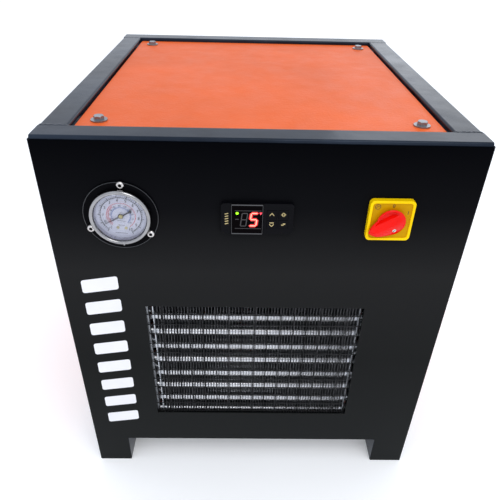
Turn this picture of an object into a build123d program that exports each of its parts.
from build123d import *
import math
import os

# A refrigerated compressed-air dryer: a welded tube cabinet with bolted sheet panels, an
# air-cooled condenser behind the front grille, a hermetic compressor, an insulated heat
# exchanger, a moisture separator with its drain, and the controls on the front.
# +Z is up, the front faces -Y, and the origin is the centre of the footprint on the floor.

# ---------------------------------------------------------------- cabinet
CAB_W = 460.0
CAB_D = 494.0
CAB_H = 516.0
TUBE = 30.0
TUBE_WALL = 1.5
TUBE_ROUND = 2.5
SHEET = 1.5
FRONT = -CAB_D / 2
BACK = CAB_D / 2
FRAME_FRONT = FRONT + SHEET
FRAME_HALF_W = CAB_W / 2 - 2.0
FOOT_H = 51.0
FOOT = 47.0
FRONT_TOP = CAB_H - 4.0
FLANGE = 12.0
BEND_R = 2.0
OPEN_HALF_W = FRAME_HALF_W - TUBE
OPEN_FRONT = FRAME_FRONT + TUBE
OPEN_BACK = BACK - TUBE
OPEN_D = OPEN_BACK - OPEN_FRONT
MID_Y = (OPEN_FRONT + OPEN_BACK) / 2
OPEN_LOW = FOOT_H + TUBE
OPEN_TOP = CAB_H - TUBE
OPEN_H = OPEN_TOP - OPEN_LOW
MID_Z = (OPEN_TOP + OPEN_LOW) / 2
PAN = 2.0
PAN_TOP = OPEN_LOW + PAN

# ---------------------------------------------------------------- panels and their bolts
PANEL = 1.2
RECESS = 5.0
PANEL_GAP = 2.5
BOLT_IN_ALONG = 29.0
BOLT_IN_ACROSS = 24.0
BOLT_R = 3.0
BOLT_HEAD_AF = 10.0
BOLT_HEAD = 4.0
BOLT_LENGTH = 14.0
WASHER_R = 9.0
WASHER = 1.5
TAB = 3.0
TAB_HALF = 15.0
NUT_R = 6.0
NUT = 5.0
LOUVRE_L = 150.0
LOUVRE_H = 9.0
LOUVRE_OUT = 4.0
LOUVRE_PITCH = 26.0

# ---------------------------------------------------------------- front grille and condenser
GRILLE_X = -2.0
GRILLE_Z = 206.0
GRILLE_W = 265.0
GRILLE_H = 195.0
MESH_PITCH = 16.2
MESH_WIRE = 1.3
MESH_GAP = 1.0
MESH_RIM = 10.0
CORE_X = 0.0
CORE_FRONT = FRONT + 6.0
CORE_DEPTH = 44.0
CORE_HALF_W = 126.5
CORE_LOW = 93.75
CORE_ROWS = 9
ROW_PITCH = 25.0
ROW_DEPTH = 22.0
FIN = 0.3
FIN_PITCH = 3.7
TUBE_R = 4.75
TUBE_R_IN = 4.2
END_PLATE = 1.2
CHANNEL = 23.3
FLANGE_GAP = 4.3
SHROUD_DEPTH = 38.0
FAN_R = 100.0
FAN_HOLE_R = 104.0
FAN_HUB_R = 34.0
FAN_HUB = 28.0
FAN_BLADES = 5
FAN_PITCH_ANGLE = 28.0
FAN_SHAFT_R = 4.0
SHAFT_CLEARANCE = 0.06
MOTOR_R = 42.0
MOTOR_L = 58.0

# ---------------------------------------------------------------- front devices
DEVICE_Z = 430.0
CTRL_X = -3.5
CTRL_Z = 429.3
CTRL_W = 77.0
CTRL_H = 37.0
CTRL_PROUD = 5.0
CTRL_BODY_W = 71.0
CTRL_BODY_H = 29.0
CTRL_BODY_D = 58.0
CTRL_WALL = 2.0
WINDOW_LEFT = 0.14
WINDOW_RIGHT = 0.58
WINDOW_PROUD = 1.2
KEY_COLUMNS = (0.70, 0.86)
KEY_RISE = 6.0
KEY_W = 10.0
KEY_H = 9.5
KEY_GAP = 0.3
SWITCH_X = 138.0
SWITCH_PLATE = 48.0
SWITCH_PROUD = 6.5
SWITCH_RIM = 3.1
SWITCH_FIELD_DROP = 1.2
SWITCH_BODY = 42.0
SWITCH_BODY_D = 40.0
KNOB_R = 15.3
KNOB_NECK_R = 12.5
KNOB_EDGE = 11.0
KNOB_RIM = 2.0
KNOB_TOP = 14.0
KNOB_GAP = 0.5
KNOB_ON_ANGLE = 30.0
KNOB_TAIL = 20.5
KNOB_TAIL_R = 6.0
KNOB_RIDGE_R = 3.8
KNOB_RIDGE = (-18.5, 9.5)
KNOB_SHAFT_R = 4.0
GAUGE_X = -148.0
GAUGE_Z = 429.0
GAUGE_TURN = -5.5
GAUGE_CASE_R = 30.5
GAUGE_CASE_WALL = 1.7
GAUGE_CASE_D = 30.0
GAUGE_FLANGE_R = 40.0
GAUGE_FLANGE = 2.0
BEZEL_R = 32.5
BEZEL_PROUD = 9.0
BEZEL_LIP = 2.0
DIAL_SHOW_R = 28.0
DIAL_R = 28.6
LENS = 1.0
GAUGE_PCD_R = 36.8
GAUGE_SCREW_HEAD_R = 4.25
POINTER_ANGLE = 208.0
POINTER_TIP = 22.0
POINTER_TAIL = 13.5
SPINDLE_R = 0.8

# ---------------------------------------------------------------- machinery
COMP_X = -105.0
COMP_Y = 100.0
COMP_R = 78.0
COMP_WALL = 3.0
COMP_LOW = 99.0
COMP_H = 190.0
COMP_DOME = 30.0
GROMMET_H = 12.0
CAPACITOR = (5.0, -10.0)
COMP_FOOT_X = 80.0
COMP_FOOT_Y = 62.0
EXCH_X = 110.0
EXCH_Y = 110.0
EXCH_W = 160.0
EXCH_D = 180.0
EXCH_LOW = 172.0
EXCH_H = 238.0
FOAM = 15.0
PORT_X = (65.0, 155.0)
PORT_Z = 350.0
PORT_OUT = KNOB_TOP
PORT_BORE_R = 9.32
PORT_THREAD = 18.0
PORT_AF = 30.0
PORT_SHANK_R = 13.0
DRAIN_Z = 112.0
DRAIN_X = 110.0
SEPARATOR_R = 32.0
SPIGOT_R = 5.0
PLUNGER_R = 4.0
GLAND_X = -150.0
GLAND_Z = 130.0
GLAND_R = 10.0
GLAND_BORE_R = 4.5
LINE_R = 4.75
LINE_R_IN = 3.95
CAPILLARY_R = 1.2


# ---------------------------------------------------------------- geometry helpers
def block(x_span, y_span, z_span):
    """A box between two x, two y and two z values."""
    spans = (x_span, y_span, z_span)
    centre = [(low + high) / 2 for low, high in spans]
    size = [high - low for low, high in spans]
    return Pos(*centre) * Box(*size)


def rod(radius, start, direction, length):
    """A cylinder that starts at a point and runs along a direction."""
    base = Cylinder(radius, length, align=(Align.CENTER, Align.CENTER, Align.MIN))
    return Plane(origin=start, z_dir=direction) * base


def ring(outer, inner, start, direction, length):
    """A round tube along a direction."""
    return rod(outer, start, direction, length) - rod(inner, start, direction, length)


def prism(sketch, plane, length):
    """A sketch extruded along a plane's normal."""
    return extrude(plane * sketch, amount=length)


def front_plane(x, z, proud, turn=0.0):
    """A plane facing forwards, a distance in front of the front sheet, turned anticlockwise."""
    angle = math.radians(turn)
    x_dir = (math.cos(angle), 0, math.sin(angle))
    return Plane(origin=(x, FRONT - proud, z), x_dir=x_dir, z_dir=(0, -1, 0))


def pipe(points, bend, outer, inner):
    """A drawn tube along straight runs joined by tangent arcs."""
    path = FilletPolyline(*points, radius=bend)
    section = Circle(outer) - Circle(inner)
    return sweep(Plane(origin=path @ 0, z_dir=path % 0) * section, path=path)


def hexagon(across_flats):
    return RegularPolygon(across_flats / 2, 6, major_radius=False)


def group(solids):
    """Separate solids that share one node."""
    return Compound([solid for piece in solids for solid in piece.solids()])


# ---------------------------------------------------------------- frame
def square_tube(x_span, y_span, z_span, axis):
    """A square tube with rounded long edges, open at both ends."""
    outer = block(x_span, y_span, z_span)
    outer = fillet(outer.edges().filter_by(axis), TUBE_ROUND)
    spans = [x_span, y_span, z_span]
    for index, along in enumerate((Axis.X, Axis.Y, Axis.Z)):
        if along != axis:
            low, high = spans[index]
            spans[index] = (low + TUBE_WALL, high - TUBE_WALL)
    return outer - block(*spans)


def capped_tube(x_span, y_span, z_span):
    """A cross tube with closed ends, opened underneath at each end over the corner post's bore."""
    outer = fillet(block(x_span, y_span, z_span).edges().filter_by(Axis.X), TUBE_ROUND)
    bore = [(low + TUBE_WALL, high - TUBE_WALL) for low, high in (x_span, y_span, z_span)]
    tube = outer - block(*bore)
    for side in x_span:
        inner = side - math.copysign(TUBE - TUBE_WALL, side)
        edge = side - math.copysign(TUBE_WALL, side)
        mouth = (min(inner, edge), max(inner, edge))
        tube -= block(mouth, bore[1], (z_span[0], z_span[0] + 2 * TUBE_WALL))
    return tube


FRONT_TUBE_Y = (FRAME_FRONT, FRAME_FRONT + TUBE)
BACK_TUBE_Y = (BACK - TUBE, BACK)
LEFT_TUBE_X = (-FRAME_HALF_W, -FRAME_HALF_W + TUBE)
RIGHT_TUBE_X = (FRAME_HALF_W - TUBE, FRAME_HALF_W)
SIDE_TUBE_Y = (OPEN_FRONT, OPEN_BACK)


def top_rails():
    top = (OPEN_TOP, CAB_H)
    cross = [capped_tube((-FRAME_HALF_W, FRAME_HALF_W), y, top) for y in (FRONT_TUBE_Y, BACK_TUBE_Y)]
    sides = [square_tube(x, SIDE_TUBE_Y, top, Axis.Y) for x in (LEFT_TUBE_X, RIGHT_TUBE_X)]
    return group(cross + sides)


def corner_posts():
    tall = (FOOT_H, OPEN_TOP)
    corners = [(x, y) for x in (LEFT_TUBE_X, RIGHT_TUBE_X) for y in (FRONT_TUBE_Y, BACK_TUBE_Y)]
    return group([square_tube(x, y, tall, Axis.Z) for x, y in corners])


def bottom_rails():
    low = (FOOT_H, OPEN_LOW)
    across = (-OPEN_HALF_W, OPEN_HALF_W)
    cross = [square_tube(across, y, low, Axis.X) for y in (FRONT_TUBE_Y, BACK_TUBE_Y)]
    sides = [square_tube(x, SIDE_TUBE_Y, low, Axis.Y) for x in (LEFT_TUBE_X, RIGHT_TUBE_X)]
    return group(cross + sides)


def corner_feet():
    """Folded cups under the posts, open at the top where the posts and rails close them."""
    feet = []
    for side in (-1, 1):
        outer_x = side * (CAB_W / 2 - SHEET - 0.3)
        inner_x = side * (CAB_W / 2 - FOOT)
        x_span = (min(outer_x, inner_x), max(outer_x, inner_x))
        for y_span in ((FRAME_FRONT, FRAME_FRONT + FOOT), (BACK - FOOT, BACK)):
            cup = block(x_span, y_span, (0, FOOT_H))
            hollow = [(low + PAN, high - PAN) for low, high in (x_span, y_span)]
            feet.append(cup - block(hollow[0], hollow[1], (PAN, FOOT_H)))
    return group(feet)


def base_pan():
    """The floor of the cabinet, notched round the posts, with holes for the compressor's bolts."""
    edge_x = FRAME_HALF_W - 1.0
    pan = block((-edge_x, edge_x), (FRAME_FRONT + 1.0, BACK - 1.0), (OPEN_LOW, PAN_TOP))
    for x_span in (LEFT_TUBE_X, RIGHT_TUBE_X):
        for y_span in (FRONT_TUBE_Y, BACK_TUBE_Y):
            wide = [(low - 1.0, high + 1.0) for low, high in (x_span, y_span)]
            pan -= block(wide[0], wide[1], (OPEN_LOW, PAN_TOP))
    for x, y in compressor_feet():
        pan -= rod(4.3, (x, y, OPEN_LOW), (0, 0, 1), PAN)
    return pan


def front_panel():
    """The folded front sheet with its two legs, side returns, grille opening and device cut-outs."""
    half = CAB_W / 2
    gap = half - FOOT + 0.4
    sheet = block((-half, half), (FRONT, FRAME_FRONT), (0, FRONT_TOP))
    sheet -= block((-gap, gap), (FRONT, FRAME_FRONT), (0, FOOT_H - 0.4))
    for side in (-1, 1):
        x_span = (side * half, side * (half - SHEET))
        sheet += block((min(x_span), max(x_span)), (FRAME_FRONT, FRAME_FRONT + FLANGE), (0, FRONT_TOP))
    uprights = sheet.edges().filter_by(Axis.Z).group_by(Axis.Y)[0].sort_by(Axis.X)
    sheet = fillet([uprights[0], uprights[-1]], BEND_R)
    grille_x = (GRILLE_X - GRILLE_W / 2, GRILLE_X + GRILLE_W / 2)
    grille_z = (GRILLE_Z - GRILLE_H / 2, GRILLE_Z + GRILLE_H / 2)
    sheet -= block(grille_x, (FRONT, FRAME_FRONT), grille_z)
    back = front_plane(0, 0, -SHEET)
    holes = Pos(CTRL_X, CTRL_Z) * Rectangle(CTRL_BODY_W + 0.6, CTRL_BODY_H + 0.6)
    holes += Pos(SWITCH_X, DEVICE_Z) * Circle(8.0)
    holes += Pos(GAUGE_X, GAUGE_Z) * Circle(GAUGE_CASE_R + 0.4)
    for x, z in gauge_screw_places():
        holes += Pos(x, z) * Circle(2.3)
    return sheet - prism(holes, back, SHEET)


# ---------------------------------------------------------------- recessed panels
# A panel is made flat, outer face at z = 0 with +Z outwards, then placed in its opening.
TOP_PLACE = Plane(origin=(0, MID_Y, CAB_H - RECESS), x_dir=(1, 0, 0), z_dir=(0, 0, 1))
LEFT_PLACE = Plane(origin=(-FRAME_HALF_W + RECESS, MID_Y, MID_Z), x_dir=(0, -1, 0), z_dir=(-1, 0, 0))
RIGHT_PLACE = Plane(origin=(FRAME_HALF_W - RECESS, MID_Y, MID_Z), x_dir=(0, 1, 0), z_dir=(1, 0, 0))
REAR_PLACE = Plane(origin=(0, BACK - RECESS, MID_Z), x_dir=(-1, 0, 0), z_dir=(0, 1, 0))
TOP_SIZE = (2 * OPEN_HALF_W, OPEN_D)
SIDE_SIZE = (OPEN_D, OPEN_H)
REAR_SIZE = (2 * OPEN_HALF_W, OPEN_H)
TOP_BOLT = (OPEN_HALF_W - BOLT_IN_ACROSS, OPEN_D / 2 - BOLT_IN_ALONG)
SIDE_BOLT = (OPEN_D / 2 - BOLT_IN_ALONG, OPEN_H / 2 - BOLT_IN_ACROSS)
REAR_BOLT = (OPEN_HALF_W - BOLT_IN_ACROSS, OPEN_H / 2 - BOLT_IN_ACROSS)


def four(half_x, half_y):
    """The four corners of a rectangle about the origin."""
    return [(x, y) for x in (-half_x, half_x) for y in (-half_y, half_y)]


def louvre_hood(x, y):
    """A pressed hood that is closed at its top edge and ends, and open underneath."""
    # each profile's x runs outwards, and its y runs down the panel
    profile = Polygon((0, 0), (LOUVRE_OUT, LOUVRE_H), (0, LOUVRE_H), align=None)
    hollow = Polygon((0, PANEL * 2), (LOUVRE_OUT - PANEL, LOUVRE_H), (0, LOUVRE_H), align=None)
    end = Plane(origin=(x - LOUVRE_L / 2, y, 0), x_dir=(0, 0, 1), z_dir=(1, 0, 0))
    start = Plane(origin=(x - LOUVRE_L / 2 + PANEL, y, 0), x_dir=(0, 0, 1), z_dir=(1, 0, 0))
    outer = extrude(end * profile, amount=LOUVRE_L, dir=(1, 0, 0))
    return outer - extrude(start * hollow, amount=LOUVRE_L - 2 * PANEL, dir=(1, 0, 0))


def panel(size, bolt, louvres=(), holes=()):
    """A sheet with four bolt holes, louvres and round holes (x, y, radius)."""
    width, height = size[0] - 2 * PANEL_GAP, size[1] - 2 * PANEL_GAP
    outline = RectangleRounded(width, height, 3.0)
    for x, y in four(*bolt):
        outline -= Pos(x, y) * Circle(BOLT_R + 0.4)
    for x, y, radius in holes:
        outline -= Pos(x, y) * Circle(radius)
    for x, y in louvres:
        slot_h = LOUVRE_H - 2 * PANEL
        outline -= Pos(x, y - 2 * PANEL - slot_h / 2) * Rectangle(LOUVRE_L - 2 * PANEL, slot_h)
    sheet = extrude(outline, amount=-PANEL)
    for x, y in louvres:
        sheet += louvre_hood(x, y)
    return sheet


def louvre_grid(columns, rows, low):
    """Louvre places: columns of x, a number of rows, from a lowest y."""
    return [(x, low + LOUVRE_PITCH * row) for row in range(rows) for x in columns]


def top_panel():
    return TOP_PLACE * panel(TOP_SIZE, TOP_BOLT)


def left_side_panel():
    return LEFT_PLACE * panel(SIDE_SIZE, SIDE_BOLT, louvre_grid((-95, 95), 9, -110))


def right_side_panel():
    return RIGHT_PLACE * panel(SIDE_SIZE, SIDE_BOLT, louvre_grid((-95, 95), 9, -110))


def rear_panel():
    """The rear sheet lets the two air couplings, the drain spigot and the cable gland through."""
    holes = [(-x, PORT_Z - MID_Z, PORT_SHANK_R + 0.5) for x in PORT_X]
    holes.append((-DRAIN_X, DRAIN_Z - MID_Z, 6.5))
    holes.append((-GLAND_X, GLAND_Z - MID_Z, GLAND_R + 0.3))
    return REAR_PLACE * panel(REAR_SIZE, REAR_BOLT, louvre_grid((92,), 6, -60), holes)


PANEL_PLACES = (
    (TOP_PLACE, TOP_BOLT, TOP_SIZE, "x"),
    (LEFT_PLACE, SIDE_BOLT, SIDE_SIZE, "y"),
    (RIGHT_PLACE, SIDE_BOLT, SIDE_SIZE, "y"),
    (REAR_PLACE, REAR_BOLT, REAR_SIZE, "y"),
)


def panel_tabs():
    """A tab behind each bolt, from the edge of the opening, with a weld nut behind it."""
    tabs = []
    for place, bolt, size, reach in PANEL_PLACES:
        for x, y in four(*bolt):
            x_span, y_span = (x - TAB_HALF, x + TAB_HALF), (y - TAB_HALF, y + TAB_HALF)
            if reach == "x":
                x_span = sorted((x - math.copysign(TAB_HALF, x), math.copysign(size[0] / 2, x)))
            else:
                reach_y = size[1] / 2 if y > 0 else PAN - size[1] / 2
                y_span = sorted((y - math.copysign(TAB_HALF, y), reach_y))
            tab = block(x_span, y_span, (-PANEL - TAB, -PANEL))
            tab += rod(NUT_R, (x, y, -PANEL - TAB - NUT), (0, 0, 1), NUT)
            tab -= rod(BOLT_R + 0.2, (x, y, -PANEL - TAB - NUT), (0, 0, 1), TAB + NUT)
            tabs.append(place * tab)
    return group(tabs)


def panel_bolts():
    """Hexagon-headed M6 bolts whose heads are turned down at their upper corners."""
    turned = rod(BOLT_HEAD_AF * 0.575, (0, 0, WASHER), (0, 0, 1), BOLT_HEAD)
    turned = chamfer(turned.edges().group_by(Axis.Z)[-1], 0.8)
    head = extrude(Pos(0, 0, WASHER) * hexagon(BOLT_HEAD_AF), BOLT_HEAD) & turned
    head += rod(BOLT_R, (0, 0, WASHER - BOLT_LENGTH), (0, 0, 1), BOLT_LENGTH)
    bolts = []
    for place, bolt, _, _ in PANEL_PLACES:
        bolts += [place * Pos(x, y, 0) * head for x, y in four(*bolt)]
    return group(bolts)


def panel_washers():
    rings = []
    for place, bolt, _, _ in PANEL_PLACES:
        for x, y in four(*bolt):
            rings.append(place * ring(WASHER_R, BOLT_R + 0.2, (x, y, 0), (0, 0, 1), WASHER))
    return group(rings)


# ---------------------------------------------------------------- grille and condenser
def grille_mesh():
    """Upright wires on two flat strips behind the sheet, with cross wires that touch them behind."""
    strip_y = (FRAME_FRONT, FRAME_FRONT + MESH_GAP)
    upright_y = strip_y[1] + MESH_WIRE / 2
    half_w, half_h = GRILLE_W / 2 + MESH_RIM / 2, GRILLE_H / 2 + MESH_RIM
    columns, rows = int(GRILLE_W / MESH_PITCH), int(GRILLE_H / MESH_PITCH)
    pieces = []
    for side in (-1, 1):
        z_span = sorted(GRILLE_Z + side * (half_h - drop) for drop in (0, MESH_RIM - 1.5))
        pieces.append(block((GRILLE_X - half_w, GRILLE_X + half_w), strip_y, z_span))
    for column in range(columns + 1):
        x = GRILLE_X + MESH_PITCH * (column - columns / 2)
        pieces.append(rod(MESH_WIRE / 2, (x, upright_y, GRILLE_Z - half_h), (0, 0, 1), 2 * half_h))
    for row in range(rows + 1):
        start = (GRILLE_X - half_w, upright_y + MESH_WIRE, GRILLE_Z + MESH_PITCH * (row - rows / 2))
        pieces.append(rod(MESH_WIRE / 2, start, (1, 0, 0), 2 * half_w))
    return group(pieces)


def tube_places():
    """The y and z of each condenser tube: two columns, the rear one half a pitch higher."""
    places = []
    first_y = CORE_FRONT + CORE_DEPTH / 4
    for column in range(2):
        for row in range(CORE_ROWS):
            z = CORE_LOW + ROW_PITCH * (row + 0.25 + column / 2)
            places.append((first_y + ROW_DEPTH * column, z))
    return places


def core_profile(y_pad, z_pad, radius):
    """The outline of a fin or an end plate, with a hole for every tube."""
    plane = Plane(origin=(0, 0, 0), x_dir=(0, 1, 0), z_dir=(1, 0, 0))
    height = CORE_ROWS * ROW_PITCH
    centre = (CORE_FRONT + CORE_DEPTH / 2, CORE_LOW + height / 2)
    outline = Pos(*centre) * Rectangle(CORE_DEPTH + 2 * y_pad, height + 2 * z_pad)
    for y, z in tube_places():
        outline -= Pos(y, z) * Circle(radius)
    return plane * outline


def condenser_fins():
    fin = extrude(core_profile(0, 0, TUBE_R + 0.1), amount=FIN)
    count = int((2 * CORE_HALF_W - FIN_PITCH) / FIN_PITCH)
    first = CORE_X - FIN_PITCH * (count - 1) / 2
    return group([Pos(first + FIN_PITCH * index, 0, 0) * fin for index in range(count)])


def condenser_end_plates():
    """Plates that carry the tubes, each with a channel round the return bends beside it.

    The channel has a top, a bottom, an outer side with holes for the lines on the left, and a front
    flange that stops short of the plate.
    """
    plates = []
    y_span = (CORE_FRONT, CORE_FRONT + CORE_DEPTH + 2.0)
    low, high = CORE_LOW - 2.0, CORE_LOW + CORE_ROWS * ROW_PITCH + 2.0
    places = tube_places()
    for side in (-1, 1):
        inner = CORE_X + side * CORE_HALF_W
        web = extrude(core_profile(0.0, 2.0, TUBE_R + 0.1), amount=END_PLATE)
        plate = Pos(min(inner, inner + side * END_PLATE), 0, 0) * web
        far = inner + side * (END_PLATE + CHANNEL)
        channel_x = sorted((inner, far))
        plate += block(channel_x, y_span, (high - END_PLATE, high))
        plate += block(channel_x, y_span, (low, low + END_PLATE))
        plate += block(sorted((far, far - side * END_PLATE)), y_span, (low, high))
        flange_x = sorted((inner + side * (END_PLATE + FLANGE_GAP), far))
        plate += block(flange_x, (CORE_FRONT, CORE_FRONT + END_PLATE), (low, high))
        if side < 0:
            for y, z in (places[CORE_ROWS - 1], places[2 * CORE_ROWS - 1]):
                plate -= rod(TUBE_R + 0.5, (far - 1.0, y, z), (1, 0, 0), END_PLATE + 2.0)
        plates.append(plate)
    return group(plates)


def return_bend(first, second, side, reach):
    """A half ring of tube from one (y, z) place to another, at the left (-1) or right (1) end."""
    x = CORE_X + side * reach
    step = Vector(0, second[0] - first[0], second[1] - first[1])
    start = Plane(origin=(x, *first), z_dir=(side, 0, 0))
    turn = Axis(Vector(x, *first) + step / 2, step.cross(Vector(-side, 0, 0)))
    return revolve(start * (Circle(TUBE_R) - Circle(TUBE_R_IN)), axis=turn, revolution_arc=180)


def condenser_tubes():
    """Straight tubes and the half-round return bends that join them into one circuit."""
    reach = CORE_HALF_W + 4.0
    pieces = []
    places = tube_places()
    for y, z in places:
        pieces.append(ring(TUBE_R, TUBE_R_IN, (CORE_X - reach, y, z), (1, 0, 0), 2 * reach))
    for column in range(2):
        for row in range(CORE_ROWS - 1):
            first = column * CORE_ROWS + row
            side = -1 if row % 2 == 0 else 1
            pieces.append(return_bend(places[first], places[first + 1], side, reach))
    pieces.append(return_bend(places[0], places[CORE_ROWS], 1, reach))
    return group(pieces)


SHROUD_FRONT = CORE_FRONT + CORE_DEPTH + 2.0
SHROUD_BACK = SHROUD_FRONT + SHROUD_DEPTH
SHROUD_X = (CORE_X - CORE_HALF_W - END_PLATE, CORE_X + CORE_HALF_W + END_PLATE)
SHROUD_Z = (CORE_LOW - 2.0, CORE_LOW + CORE_ROWS * ROW_PITCH + 2.0)
FAN_MID = SHROUD_BACK + 4.0
MOTOR_FRONT = FAN_MID + FAN_HUB / 2 + 8.0
BRACKET_Y = (MOTOR_FRONT + 8.0, MOTOR_FRONT + 11.0)


def fan_shroud():
    """A box from the condenser to a round collar about the fan."""
    shroud = block(SHROUD_X, (SHROUD_FRONT, SHROUD_BACK), SHROUD_Z)
    inner_x = (SHROUD_X[0] + PANEL, SHROUD_X[1] - PANEL)
    inner_z = (SHROUD_Z[0] + PANEL, SHROUD_Z[1] - PANEL)
    shroud -= block(inner_x, (SHROUD_FRONT, SHROUD_BACK - PANEL), inner_z)
    shroud += rod(FAN_HOLE_R + PANEL, (CORE_X, SHROUD_BACK, GRILLE_Z), (0, 1, 0), 16.0)
    return shroud - rod(FAN_HOLE_R, (CORE_X, SHROUD_BACK - PANEL, GRILLE_Z), (0, 1, 0), 16.0 + PANEL)


def fan_blades():
    """Hub, pitched blades trimmed to a circle, and the shaft into the motor."""
    centre = Plane(origin=(CORE_X, FAN_MID, GRILLE_Z), x_dir=(1, 0, 0), z_dir=(0, 1, 0))
    blade_span = FAN_R - FAN_HUB_R + 6.0
    blade_mid = FAN_HUB_R - 6.0 + blade_span / 2
    wheel = Cylinder(FAN_HUB_R, FAN_HUB)
    for index in range(FAN_BLADES):
        blade = Pos(blade_mid, 0, 0) * Rot(FAN_PITCH_ANGLE, 0, 0) * Box(blade_span, 60.0, 2.0)
        wheel += Rot(0, 0, 360.0 / FAN_BLADES * index) * blade
    wheel &= Cylinder(FAN_R, 80.0)
    shaft = rod(FAN_SHAFT_R, (0, 0, 0), (0, 0, 1), MOTOR_FRONT - FAN_MID + 12.0)
    return centre * (wheel + shaft)


def fan_motor():
    """An external-case motor with a rounded rear and a blind bearing bore."""
    case = rod(MOTOR_R, (CORE_X, MOTOR_FRONT, GRILLE_Z), (0, 1, 0), MOTOR_L)
    case = fillet(case.edges().group_by(Axis.Y)[-1], 10.0)
    bore = FAN_SHAFT_R + SHAFT_CLEARANCE
    return case - rod(bore, (CORE_X, MOTOR_FRONT, GRILLE_Z), (0, 1, 0), 14.0)


def fan_motor_bracket():
    """A ring round the motor with four arms that fold forwards to the shroud."""
    centre = (CORE_X, BRACKET_Y[0], GRILLE_Z)
    bracket = ring(MOTOR_R + 12.0, MOTOR_R + 0.2, centre, (0, 1, 0), BRACKET_Y[1] - BRACKET_Y[0])
    arm = block((MOTOR_R + 8.0, 122.0), BRACKET_Y, (-6.0, 6.0))
    arm += block((119.0, 122.0), (SHROUD_BACK, BRACKET_Y[0]), (-6.0, 6.0))
    for angle in (45, 135, 225, 315):
        bracket += Pos(CORE_X, 0, GRILLE_Z) * Rot(0, angle, 0) * arm
    return bracket


# ---------------------------------------------------------------- controller
def controller_case():
    """A panel-mount case: a rounded bezel in front and a hollow body behind the sheet."""
    face = prism(RectangleRounded(CTRL_W, CTRL_H, 3.5), front_plane(CTRL_X, CTRL_Z, 0), CTRL_PROUD)
    face = fillet(face.edges().group_by(Axis.Y)[0], 0.5)
    body = prism(Rectangle(CTRL_BODY_W, CTRL_BODY_H), front_plane(CTRL_X, CTRL_Z, -CTRL_BODY_D), CTRL_BODY_D)
    hollow = Rectangle(CTRL_BODY_W - 2 * CTRL_WALL, CTRL_BODY_H - 2 * CTRL_WALL)
    depth = CTRL_BODY_D - CTRL_WALL
    case = face + body - prism(hollow, front_plane(CTRL_X, CTRL_Z, -depth), depth + CTRL_WALL)
    case -= prism(window_plug(), front_plane(0, CTRL_Z, 0), CTRL_PROUD)
    for x, z in key_places():
        opening = Rectangle(KEY_W + 2 * KEY_GAP, KEY_H + 2 * KEY_GAP)
        case -= prism(opening, front_plane(x, z, 0), CTRL_PROUD)
    return case


def window_span():
    """The display window's left and right edges."""
    left = CTRL_X - CTRL_W / 2
    return left + WINDOW_LEFT * CTRL_W, left + WINDOW_RIGHT * CTRL_W


def window_plug():
    """The outline of the window's plug in the case."""
    left, right = window_span()
    return Pos((left + right) / 2, 0) * Rectangle(right - left - 3.0, CTRL_BODY_H - 2 * CTRL_WALL - 1.0)


def controller_window():
    """A smoked window block that stands a little proud of the bezel."""
    left, right = window_span()
    plate = Pos((left + right) / 2, 0) * Rectangle(right - left, CTRL_H)
    block_front = prism(plate, front_plane(0, CTRL_Z, CTRL_PROUD), WINDOW_PROUD)
    return block_front + prism(window_plug(), front_plane(0, CTRL_Z, CTRL_WALL), CTRL_PROUD - CTRL_WALL)


def key_places():
    """Key centres: upper left, upper right, lower left, lower right."""
    left = CTRL_X - CTRL_W / 2
    return [(left + share * CTRL_W, CTRL_Z + rise) for rise in (KEY_RISE, -KEY_RISE) for share in KEY_COLUMNS]


def key(index):
    """A key cap with a retaining flange behind the case's front wall."""
    x, z = key_places()[index]
    cap = prism(Rectangle(KEY_W, KEY_H), front_plane(x, z, 1.0), CTRL_PROUD - 1.0 + 0.3)
    flange = prism(Rectangle(KEY_W + 1.2, KEY_H + 1.2), front_plane(x, z, 0.8), 1.0)
    return cap + flange


# ---------------------------------------------------------------- main switch
def switch_plate():
    """A square plate with a raised rim and a field for the knob."""
    plane = front_plane(SWITCH_X, DEVICE_Z, 0)
    plate = prism(RectangleRounded(SWITCH_PLATE, SWITCH_PLATE, 5.0), plane, SWITCH_PROUD)
    field = SWITCH_PLATE - 2 * SWITCH_RIM
    top = front_plane(SWITCH_X, DEVICE_Z, SWITCH_PROUD - SWITCH_FIELD_DROP)
    plate -= prism(RectangleRounded(field, field, 3.0), top, SWITCH_FIELD_DROP)
    plate = fillet(plate.edges().group_by(Axis.Y)[0], 0.8)
    return plate - prism(Circle(KNOB_SHAFT_R + 1.0), plane, SWITCH_PROUD)


def switch_body():
    """The switch block behind the sheet, with a neck through the sheet and the shaft's blind bore."""
    plane = front_plane(SWITCH_X, DEVICE_Z, -SHEET - SWITCH_BODY_D)
    body = prism(RectangleRounded(SWITCH_BODY, SWITCH_BODY, 3.0), plane, SWITCH_BODY_D)
    body += prism(Circle(7.5), front_plane(SWITCH_X, DEVICE_Z, -SHEET), SHEET)
    bore = Circle(KNOB_SHAFT_R + SHAFT_CLEARANCE)
    return body - prism(bore, front_plane(SWITCH_X, DEVICE_Z, -SHEET - 14.0), 14.0 + SHEET)


KNOB_BASE = SWITCH_PROUD - SWITCH_FIELD_DROP + KNOB_GAP


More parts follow.
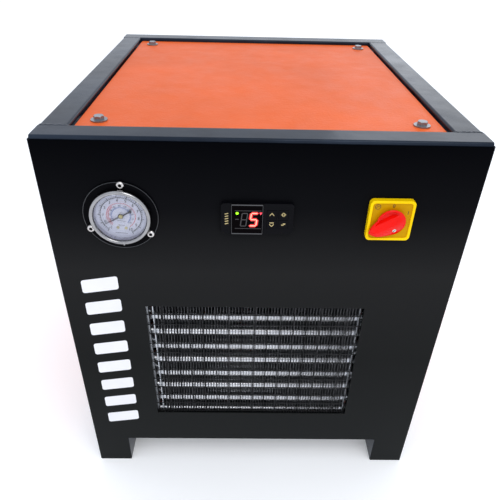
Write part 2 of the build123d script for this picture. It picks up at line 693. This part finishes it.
def switch_knob():
    """A cap with a tail, a raised ridge along both, a neck that narrows to the plate, and a shaft."""
    plane = front_plane(SWITCH_X, DEVICE_Z, 0, KNOB_ON_ANGLE)
    tail = Pos(-KNOB_TAIL, 0) * Circle(KNOB_TAIL_R)
    outline = make_hull(Circle(KNOB_R).edges() + tail.edges())
    knob = prism(outline, plane.offset(KNOB_EDGE - KNOB_RIM), KNOB_RIM)
    neck_h = KNOB_EDGE - KNOB_RIM - KNOB_BASE
    neck = Cone(KNOB_NECK_R, KNOB_R, neck_h, align=(Align.CENTER, Align.CENTER, Align.MIN))
    knob += plane.offset(KNOB_BASE) * neck
    ends = [(Pos(x, 0) * Circle(KNOB_RIDGE_R)).edges() for x in KNOB_RIDGE]
    knob += prism(make_hull(ends[0] + ends[1]), plane.offset(KNOB_EDGE), KNOB_TOP - KNOB_EDGE)
    return knob + prism(Circle(KNOB_SHAFT_R), plane.offset(-12.0), KNOB_BASE + 12.0)


# ---------------------------------------------------------------- pressure gauge
def gauge_plane(proud):
    return front_plane(GAUGE_X, GAUGE_Z, proud, GAUGE_TURN)


def gauge_screw_places():
    """Screw places on the front sheet, at the top and both lower sides of the turned flange."""
    angles = [math.radians(90.0 + 120.0 * index + GAUGE_TURN) for index in range(3)]
    return [(GAUGE_X + GAUGE_PCD_R * math.cos(a), GAUGE_Z + GAUGE_PCD_R * math.sin(a)) for a in angles]


def gauge_case():
    """A cup behind the sheet with a front flange, a centre block for the movement and a rear port."""
    depth = GAUGE_CASE_D
    case = prism(Circle(GAUGE_CASE_R), gauge_plane(-depth), depth + BEZEL_PROUD - BEZEL_LIP - LENS)
    case -= prism(Circle(GAUGE_CASE_R - GAUGE_CASE_WALL), gauge_plane(-depth + 2.0), depth + BEZEL_PROUD)
    flange = Circle(GAUGE_FLANGE_R) - Circle(GAUGE_CASE_R - 0.5)
    for index in range(3):
        angle = math.radians(90.0 + 120.0 * index)
        flange -= Pos(GAUGE_PCD_R * math.cos(angle), GAUGE_PCD_R * math.sin(angle)) * Circle(2.3)
    plate = prism(flange, gauge_plane(0), GAUGE_FLANGE)
    rim = plate.edges().filter_by(GeomType.CIRCLE).group_by(Axis.Y)[0].sort_by(SortBy.RADIUS)[-1]
    case += fillet(rim, 0.8)
    case += prism(Circle(8.0), gauge_plane(-depth), depth + 0.5)
    case += prism(Circle(6.0), gauge_plane(-depth - 12.0), 12.0)
    return case - prism(Circle(SPINDLE_R + SHAFT_CLEARANCE), gauge_plane(-6.0), 12.0)


def gauge_bezel():
    """A polished ring over the case's rim, with a lip that holds the lens."""
    rise = BEZEL_PROUD - GAUGE_FLANGE
    wall = prism(Circle(BEZEL_R) - Circle(GAUGE_CASE_R), gauge_plane(GAUGE_FLANGE), rise)
    lip_ring = Circle(BEZEL_R - 0.5) - Circle(DIAL_SHOW_R)
    bezel = wall + prism(lip_ring, gauge_plane(BEZEL_PROUD - BEZEL_LIP), BEZEL_LIP)
    rim = bezel.edges().filter_by(GeomType.CIRCLE).group_by(Axis.Y)[0].sort_by(SortBy.RADIUS)[-1]
    return fillet(rim, 1.4)


def gauge_lens():
    return prism(Circle(GAUGE_CASE_R - 0.1), gauge_plane(BEZEL_PROUD - BEZEL_LIP - LENS), LENS)


def gauge_dial():
    """A thin printed disc on the movement, with a hole for the pointer's spindle."""
    return prism(Circle(DIAL_R) - Circle(SPINDLE_R + SHAFT_CLEARANCE), gauge_plane(0.5), 0.8)


def gauge_pointer():
    """A tapered pointer with a round counterweight, a hub and a spindle into the movement."""
    plane = front_plane(GAUGE_X, GAUGE_Z, 0, POINTER_ANGLE)
    blade = Polygon((0, -1.1), (POINTER_TIP, -0.25), (POINTER_TIP, 0.25), (0, 1.1), align=None)
    blade += Pos(-POINTER_TAIL / 2, 0) * Rectangle(POINTER_TAIL, 1.6)
    blade += Pos(-POINTER_TAIL + 1.4, 0) * Circle(1.4)
    needle = prism(blade, plane.offset(2.6), 0.5)
    needle += prism(Circle(2.6), plane.offset(2.2), 2.2)
    return needle + prism(Circle(SPINDLE_R), plane.offset(-5.0), 7.3)


def gauge_screws():
    """Round-headed screws with a hexagon recess, through the flange and the sheet."""
    screws = []
    for x, z in gauge_screw_places():
        head = prism(Circle(GAUGE_SCREW_HEAD_R), front_plane(x, z, GAUGE_FLANGE), 2.6)
        head = fillet(head.edges().group_by(Axis.Y)[0], 1.6)
        head -= prism(RegularPolygon(1.5, 6), front_plane(x, z, GAUGE_FLANGE + 1.2), 2.0)
        screws.append(head + prism(Circle(2.0), front_plane(x, z, -8.0), 8.0 + GAUGE_FLANGE))
    return group(screws)


# ---------------------------------------------------------------- compressor
def compressor_feet():
    """The four fixing places about the compressor."""
    return [(COMP_X + x, COMP_Y + y) for x, y in four(COMP_FOOT_X, COMP_FOOT_Y)]


SUCTION_Z = COMP_LOW + 60.0
DISCHARGE_Z = COMP_LOW + 140.0


def compressor_shell():
    """A welded steel pot with domed ends, a seam bead and open suction and discharge stubs."""
    shell = rod(COMP_R, (COMP_X, COMP_Y, COMP_LOW), (0, 0, 1), COMP_H)
    shell = fillet(shell.edges().group_by(Axis.Z)[-1], COMP_DOME)
    shell = fillet(shell.edges().group_by(Axis.Z)[0], COMP_DOME / 3)
    inner = rod(COMP_R - COMP_WALL, (COMP_X, COMP_Y, COMP_LOW + COMP_WALL), (0, 0, 1), COMP_H - 2 * COMP_WALL)
    inner = fillet(inner.edges().group_by(Axis.Z)[-1], COMP_DOME - COMP_WALL)
    seam_z = COMP_LOW + COMP_H * 0.55
    shell += ring(COMP_R + 2.0, COMP_R - 1.0, (COMP_X, COMP_Y, seam_z), (0, 0, 1), 5.0)
    stubs = ((1, 0, SUCTION_Z), (-1, 0, DISCHARGE_Z))
    for x, y, z in stubs:
        shell += rod(7.0, (COMP_X + x * (COMP_R - 2.0), COMP_Y, z), (x, y, 0), 14.0)
    shell -= inner
    for x, y, z in stubs:
        shell -= rod(LINE_R + 0.05, (COMP_X + x * (COMP_R - 10.0), COMP_Y, z), (x, y, 0), 24.0)
    return shell


def compressor_stator():
    """The stator's ring of laminations and the pump block with the shaft's lower bearing."""
    centre = (COMP_X, COMP_Y)
    stator = ring(COMP_R - COMP_WALL - 0.2, 40.0, (*centre, COMP_LOW + 75.0), (0, 0, 1), 50.0)
    pump = rod(COMP_R - COMP_WALL - 0.2, (*centre, COMP_LOW + 24.0), (0, 0, 1), 26.0)
    pump -= rod(8.0 + SHAFT_CLEARANCE, (*centre, COMP_LOW + 24.0), (0, 0, 1), 26.0)
    return group([stator, pump])


def compressor_rotor():
    """The rotor on its crankshaft, with the eccentric above the pump block."""
    centre = (COMP_X, COMP_Y)
    rotor = rod(39.5, (*centre, COMP_LOW + 75.0), (0, 0, 1), 50.0)
    rotor += rod(8.0, (*centre, COMP_LOW + 14.0), (0, 0, 1), 125.0)
    return rotor + rod(13.0, (COMP_X + 3.5, COMP_Y, COMP_LOW + 55.0), (0, 0, 1), 12.0)


def compressor_base():
    """The plate under the shell, standing on the grommets."""
    plate = Pos(COMP_X, COMP_Y) * RectangleRounded(2 * COMP_FOOT_X + 26.0, 2 * COMP_FOOT_Y + 26.0, 10.0)
    for x, y in compressor_feet():
        plate -= Pos(x, y) * Circle(4.6)
    return extrude(Pos(0, 0, PAN_TOP + GROMMET_H) * plate, amount=COMP_LOW - PAN_TOP - GROMMET_H)


def compressor_grommets():
    return group([ring(9.0, 4.4, (x, y, PAN_TOP), (0, 0, 1), GROMMET_H) for x, y in compressor_feet()])


def compressor_bolts():
    """Bolts up through the pan and grommets, with a nut over the plate."""
    bolts = []
    for x, y in compressor_feet():
        stud = rod(4.0, (x, y, OPEN_LOW - 4.0), (0, 0, 1), COMP_LOW - OPEN_LOW + 4.0)
        stud += extrude(Pos(x, y, OPEN_LOW - 4.0) * hexagon(13.0), 4.0)
        stud += extrude(Pos(x, y, COMP_LOW) * hexagon(13.0), 6.0)
        bolts.append(stud)
    return group(bolts)


def compressor_terminal_cover():
    """A moulded cover over the electrical terminals, curved to the shell."""
    y_shell = COMP_Y - COMP_R
    cover = block((COMP_X - 22, COMP_X + 22), (y_shell - 18, y_shell + 12), (COMP_LOW + 40, COMP_LOW + 92))
    cover = fillet(cover.edges().group_by(Axis.Y)[0], 4.0)
    return cover - rod(COMP_R + 0.3, (COMP_X, COMP_Y, COMP_LOW), (0, 0, 1), COMP_H)


def run_capacitor():
    """A round can standing on the pan, with two blade terminals."""
    x, y = CAPACITOR
    can = rod(20.0, (x, y, PAN_TOP), (0, 0, 1), 72.0)
    can = fillet(can.edges().group_by(Axis.Z)[-1], 3.0)
    for side in (-7.0, 7.0):
        can += block((x + side - 3.0, x + side + 3.0), (y - 0.4, y + 0.4), (PAN_TOP + 72.0, PAN_TOP + 80.0))
    return can


# ---------------------------------------------------------------- exchanger, separator and drain
EXCH_X_SPAN = (EXCH_X - EXCH_W / 2, EXCH_X + EXCH_W / 2)
EXCH_Y_SPAN = (EXCH_Y - EXCH_D / 2, EXCH_Y + EXCH_D / 2)
EXCH_Z_SPAN = (EXCH_LOW, EXCH_LOW + EXCH_H)
SUCTION_PORT = (EXCH_X_SPAN[0], EXCH_Y, EXCH_LOW + 40.0)
FEED_PORT = (EXCH_X_SPAN[0], EXCH_Y + 40.0, EXCH_LOW + 90.0)
CAPILLARY_PORT = (EXCH_X_SPAN[0], EXCH_Y + 16.0, EXCH_LOW + 106.0)


def exchanger_passages(radius, line_radius):
    """Round passages through the wall: air at the rear, refrigerant at the left, water below."""
    rear = EXCH_Y_SPAN[1]
    reach = FOAM + 60.0
    passages = [rod(radius, (x, rear - reach, PORT_Z), (0, 1, 0), reach) for x in PORT_X]
    for port in (SUCTION_PORT, FEED_PORT, CAPILLARY_PORT):
        passages.append(rod(line_radius, port, (1, 0, 0), FOAM + 30.0))
    passages.append(rod(radius, (EXCH_X, EXCH_Y, EXCH_LOW), (0, 0, 1), FOAM + 60.0))
    return passages


def exchanger_insulation():
    """A foam box with rounded edges round the exchanger."""
    foam = block(EXCH_X_SPAN, EXCH_Y_SPAN, EXCH_Z_SPAN)
    foam = fillet(foam.edges(), 8.0)
    inner = [(low + FOAM, high - FOAM) for low, high in (EXCH_X_SPAN, EXCH_Y_SPAN, EXCH_Z_SPAN)]
    foam -= block(*inner)
    for passage in exchanger_passages(11.3, LINE_R + 0.3):
        foam -= passage
    return foam


def heat_exchanger():
    """The aluminium air-to-air exchanger and evaporator block, with its header passages."""
    spans = (EXCH_X_SPAN, EXCH_Y_SPAN, EXCH_Z_SPAN)
    core = block(*[(low + FOAM + 0.5, high - FOAM - 0.5) for low, high in spans])
    for passage in exchanger_passages(9.0, LINE_R - 0.5):
        core -= passage
    return core


def water_separator():
    """A bowl under the exchanger, with its neck, and a drain outlet towards the rear."""
    centre = (EXCH_X, EXCH_Y)
    bowl = rod(SEPARATOR_R, (*centre, PAN_TOP + 12.0), (0, 0, 1), EXCH_LOW - PAN_TOP - 24.0)
    bowl = fillet(bowl.edges().group_by(Axis.Z)[-1], 8.0)
    bowl = fillet(bowl.edges().group_by(Axis.Z)[0], 8.0)
    bowl += rod(11.0, (*centre, EXCH_LOW - 20.0), (0, 0, 1), 20.0 + FOAM)
    bowl += rod(9.0, (DRAIN_X, EXCH_Y + SEPARATOR_R - 4.0, DRAIN_Z), (0, 1, 0), 8.0)
    bowl -= rod(SEPARATOR_R - 3.0, (*centre, PAN_TOP + 15.0), (0, 0, 1), EXCH_LOW - PAN_TOP - 36.0)
    bowl -= rod(8.0, (*centre, EXCH_LOW - 26.0), (0, 0, 1), 26.0 + FOAM)
    return bowl - rod(5.0, (DRAIN_X, EXCH_Y + SEPARATOR_R - 8.0, DRAIN_Z), (0, 1, 0), 12.0)


VALVE_Y = EXCH_Y + SEPARATOR_R + 4.0
VALVE_L = 34.0
BALL_R = 8.0
STEM_R = 3.0
SOLENOID_Y = VALVE_Y + VALVE_L


def drain_ball_valve():
    """An inline ball valve body with its stem boss on the right."""
    mid = (DRAIN_X, VALVE_Y + VALVE_L / 2, DRAIN_Z)
    body = rod(11.0, (DRAIN_X, VALVE_Y, DRAIN_Z), (0, 1, 0), VALVE_L)
    body += rod(6.0, mid, (1, 0, 0), 15.0)
    body -= rod(5.0, (DRAIN_X, VALVE_Y, DRAIN_Z), (0, 1, 0), VALVE_L)
    body -= Pos(*mid) * Sphere(BALL_R + SHAFT_CLEARANCE)
    return body - rod(STEM_R + SHAFT_CLEARANCE, mid, (1, 0, 0), 15.0)


def drain_lever():
    """The drilled ball, its stem and the flat lever, which lies along the pipe when open."""
    x, y, z = DRAIN_X, VALVE_Y + VALVE_L / 2, DRAIN_Z
    ball = Pos(x, y, z) * Sphere(BALL_R)
    ball -= rod(5.0, (x, y - BALL_R, z), (0, 1, 0), 2 * BALL_R)
    stem = rod(STEM_R, (x + BALL_R - 2.0, y, z), (1, 0, 0), 12.5)
    lever = block((x + 15.6, x + 18.1), (y - 7.0, y + 38.0), (z - 6.0, z + 6.0))
    lever = fillet(lever.edges().filter_by(Axis.X), 4.0)
    return ball + stem + lever


def drain_valve_body():
    """The solenoid valve's body with the plunger's tube and two line ends."""
    body = block((DRAIN_X - 13, DRAIN_X + 13), (SOLENOID_Y, SOLENOID_Y + 32), (DRAIN_Z - 12, DRAIN_Z + 10))
    top = DRAIN_Z + 10
    centre = (DRAIN_X, SOLENOID_Y + 16.0)
    body += rod(6.0, (*centre, top), (0, 0, 1), 40.0)
    body -= rod(PLUNGER_R + SHAFT_CLEARANCE, (*centre, DRAIN_Z + 2.0), (0, 0, 1), 44.0)
    return body - rod(3.0, (DRAIN_X, SOLENOID_Y, DRAIN_Z), (0, 1, 0), 32.0)


def drain_coil():
    """The moulded coil round the plunger's tube, with a plug socket on its side."""
    x, y, z = DRAIN_X, SOLENOID_Y + 16.0, DRAIN_Z + 10.0
    coil = block((x - 15, x + 15), (y - 15, y + 15), (z + 0.5, z + 36.5))
    coil = fillet(coil.edges().filter_by(Axis.Z), 4.0)
    coil += block((x - 33, x - 14), (y - 10, y + 10), (z + 6, z + 30))
    return coil - rod(6.05, (x, y, z), (0, 0, 1), 40.0)


def drain_plunger():
    return rod(PLUNGER_R, (DRAIN_X, SOLENOID_Y + 16.0, DRAIN_Z + 3.5), (0, 0, 1), 32.0)


# ---------------------------------------------------------------- rear fittings and air pipes
PANEL_BACK = BACK - RECESS - PANEL
PANEL_FACE = BACK - RECESS


def air_coupling(x):
    """A female threaded coupling: hexagon outside, shank and locknut inside the rear sheet."""
    start = (x, PANEL_BACK - 14.0, PORT_Z)
    shank = rod(PORT_SHANK_R, start, (0, 1, 0), 14.0 + PANEL + 1.0)
    face = Plane(origin=(x, PANEL_FACE, PORT_Z), z_dir=(0, 1, 0))
    coupling = shank + prism(hexagon(PORT_AF), face, RECESS + PORT_OUT)
    coupling -= rod(8.0, start, (0, 1, 0), 60.0)
    coupling -= rod(PORT_BORE_R, (x, BACK + PORT_OUT - PORT_THREAD, PORT_Z), (0, 1, 0), PORT_THREAD)
    locknut = ring(19.0, PORT_SHANK_R, (x, PANEL_BACK - 6.0, PORT_Z), (0, 1, 0), 6.0)
    return [coupling, locknut]


def rear_ports():
    """Both air couplings and the drain spigot."""
    pieces = [piece for x in PORT_X for piece in air_coupling(x)]
    inner = SOLENOID_Y + 32.0
    spigot = rod(6.0, (DRAIN_X, inner, DRAIN_Z), (0, 1, 0), PANEL_FACE - inner)
    spigot += prism(hexagon(17.0), Plane(origin=(DRAIN_X, PANEL_FACE, DRAIN_Z), z_dir=(0, 1, 0)), 5.0)
    spigot += rod(SPIGOT_R, (DRAIN_X, PANEL_FACE + 5.0, DRAIN_Z), (0, 1, 0), PORT_OUT - 1.0)
    spigot -= rod(3.0, (DRAIN_X, inner, DRAIN_Z), (0, 1, 0), 80.0)
    return group(pieces + [spigot])


def air_pipes():
    """Straight pipes from the exchanger's block to the couplings."""
    start = EXCH_Y_SPAN[1] - FOAM - 0.5
    length = PANEL_BACK - 14.0 - start
    return group([ring(11.0, 8.0, (x, start, PORT_Z), (0, 1, 0), length) for x in PORT_X])


def cable_gland():
    """The gland's body and cap outside the rear sheet, and its locknut inside."""
    start = (GLAND_X, PANEL_BACK - 8.0, GLAND_Z)
    body = rod(GLAND_R, start, (0, 1, 0), 8.0 + PANEL)
    body += prism(hexagon(24.0), Plane(origin=(GLAND_X, PANEL_FACE, GLAND_Z), z_dir=(0, 1, 0)), 6.0)
    cap = rod(11.5, (GLAND_X, PANEL_FACE + 6.0, GLAND_Z), (0, 1, 0), 12.0)
    body += fillet(cap.edges().group_by(Axis.Y)[-1], 4.0)
    body -= rod(GLAND_BORE_R, start, (0, 1, 0), 40.0)
    locknut = ring(13.5, GLAND_R, (GLAND_X, PANEL_BACK - 5.0, GLAND_Z), (0, 1, 0), 5.0)
    return group([body, locknut])


# ---------------------------------------------------------------- refrigerant circuit
DRIER_X = -178.0
DRIER_Y = -120.0
DRIER_Z = (130.0, 230.0)
HOT_GAS = (-20.0, -10.0, 330.0)


def filter_drier():
    """A spun copper cartridge with necked ends and open line sockets."""
    low, high = DRIER_Z
    centre = (DRIER_X, DRIER_Y)
    shell = rod(14.0, (*centre, low), (0, 0, 1), high - low)
    shell = fillet(shell.edges().group_by(Axis.Z)[0] + shell.edges().group_by(Axis.Z)[-1], 8.0)
    shell += rod(7.0, (*centre, low - 8.0), (0, 0, 1), high - low + 16.0)
    return shell - rod(LINE_R + 0.05, (*centre, low - 8.0), (0, 0, 1), high - low + 16.0)


def hot_gas_valve():
    """A brass valve body with a domed adjuster cap, on the bypass line."""
    x, y, z = HOT_GAS
    body = rod(14.0, (x, y, z - 16.0), (0, 0, 1), 40.0)
    body += extrude(Pos(x, y, z + 24.0) * hexagon(24.0), 14.0)
    body += rod(7.0, (x, y - 26.0, z), (0, 1, 0), 52.0)
    return body - rod(LINE_R + 0.05, (x, y - 26.0, z), (0, 1, 0), 52.0)


def refrigerant_lines():
    """Discharge, liquid, suction, bypass and gauge lines, each a drawn copper tube."""
    reach = CORE_HALF_W + 4.0
    places = tube_places()
    left = CORE_X - reach
    out_x = left - 28.0
    front_y, front_z = places[CORE_ROWS - 1]
    top_y, top_z = places[2 * CORE_ROWS - 1]
    low_z = DRIER_Z[0] - 25.0
    comp_left = COMP_X - COMP_R - 10.0
    comp_right = COMP_X + COMP_R + 10.0
    hot_x, hot_y, hot_z = HOT_GAS
    discharge = [
        (comp_left, COMP_Y, DISCHARGE_Z), (comp_left - 14.0, COMP_Y, DISCHARGE_Z),
        (comp_left - 14.0, COMP_Y, top_z + 60.0), (comp_left - 14.0, top_y, top_z + 60.0),
        (comp_left - 14.0, top_y, top_z), (left, top_y, top_z),
    ]
    liquid = [
        (left, front_y, front_z), (out_x, front_y, front_z), (out_x, front_y, low_z),
        (DRIER_X, DRIER_Y, low_z), (DRIER_X, DRIER_Y, DRIER_Z[0] - 8.0),
    ]
    suction = [
        (SUCTION_PORT[0] + FOAM, SUCTION_PORT[1], SUCTION_PORT[2]),
        (comp_right + 18.0, SUCTION_PORT[1], SUCTION_PORT[2]),
        (comp_right + 18.0, COMP_Y, SUCTION_Z), (comp_right, COMP_Y, SUCTION_Z),
    ]
    bypass = [
        (hot_x, hot_y + 26.0, hot_z), (hot_x, FEED_PORT[1], hot_z),
        (hot_x, FEED_PORT[1], FEED_PORT[2]), (FEED_PORT[0] + FOAM, FEED_PORT[1], FEED_PORT[2]),
    ]
    gauge_back = FRONT + GAUGE_CASE_D + 12.0
    gauge = [
        (GAUGE_X, gauge_back, GAUGE_Z), (GAUGE_X, gauge_back + 30.0, GAUGE_Z),
        (hot_x - 40.0, hot_y - 60.0, GAUGE_Z - 30.0), (hot_x, hot_y - 60.0, hot_z),
        (hot_x, hot_y - 26.0, hot_z),
    ]
    lines = [pipe(discharge, 12.0, LINE_R, LINE_R_IN), pipe(liquid, 8.0, LINE_R, LINE_R_IN)]
    lines += [pipe(suction, 9.0, LINE_R, LINE_R_IN), pipe(bypass, 14.0, LINE_R, LINE_R_IN)]
    lines.append(pipe(gauge, 16.0, 2.0, 1.2))
    return group(lines)


def capillary_tube():
    """A fine tube wound in a rounded square coil between the drier and the exchanger."""
    half = 26.0
    turns = 4
    centre_x, centre_y, low = DRIER_X + 56.0, DRIER_Y + 62.0, DRIER_Z[1] + 20.0
    corners = [(-half, -half), (half, -half), (half, half), (-half, half)]
    points = [(DRIER_X, DRIER_Y, DRIER_Z[1] + 8.0), (DRIER_X, DRIER_Y, low)]
    for index in range(4 * turns):
        x, y = corners[index % 4]
        points.append((centre_x + x, centre_y + y, low + 1.6 * (index + 1)))
    port_x, port_y, port_z = CAPILLARY_PORT
    points += [(4.0, centre_y - half, low + 1.6 * (4 * turns + 4)), (4.0, port_y, port_z)]
    points.append((port_x + FOAM, port_y, port_z))
    return pipe(points, 8.0, CAPILLARY_R, 0.5)


def terminal_block():
    """A row of screw terminals on the back of the front sheet."""
    row = block((62.0, 116.0), (FRAME_FRONT, FRAME_FRONT + 22.0), (352.0, 384.0))
    for index in range(6):
        x = 67.0 + 8.8 * index
        row -= rod(2.8, (x, FRAME_FRONT + 14.0, 360.0), (0, 1, 0), 8.0)
        row -= rod(2.8, (x, FRAME_FRONT + 14.0, 376.0), (0, 1, 0), 8.0)
    return row


PIECES = (
    top_rails, corner_posts, bottom_rails, corner_feet, base_pan, front_panel,
    left_side_panel, right_side_panel, rear_panel, top_panel, panel_tabs, panel_bolts, panel_washers,
    grille_mesh, condenser_fins, condenser_tubes, condenser_end_plates,
    fan_shroud, fan_motor_bracket, fan_motor, fan_blades,
    compressor_shell, compressor_stator, compressor_rotor, compressor_base, compressor_grommets,
    compressor_bolts, compressor_terminal_cover, run_capacitor,
    exchanger_insulation, heat_exchanger, water_separator,
    drain_valve_body, drain_coil, drain_plunger, drain_ball_valve, drain_lever,
    refrigerant_lines, capillary_tube, filter_drier, hot_gas_valve,
    rear_ports, air_pipes, terminal_block, cable_gland,
    controller_case, controller_window, switch_plate, switch_body, switch_knob,
    gauge_case, gauge_bezel, gauge_lens, gauge_dial, gauge_pointer, gauge_screws,
)
KEYS = ("key_up", "key_set", "key_down", "key_back")

os.makedirs("parts", exist_ok=True)
for make in PIECES:
    export_step(make(), f"parts/{make.__name__}.step")
for number, name in enumerate(KEYS):
    export_step(key(number), f"parts/{name}.step")
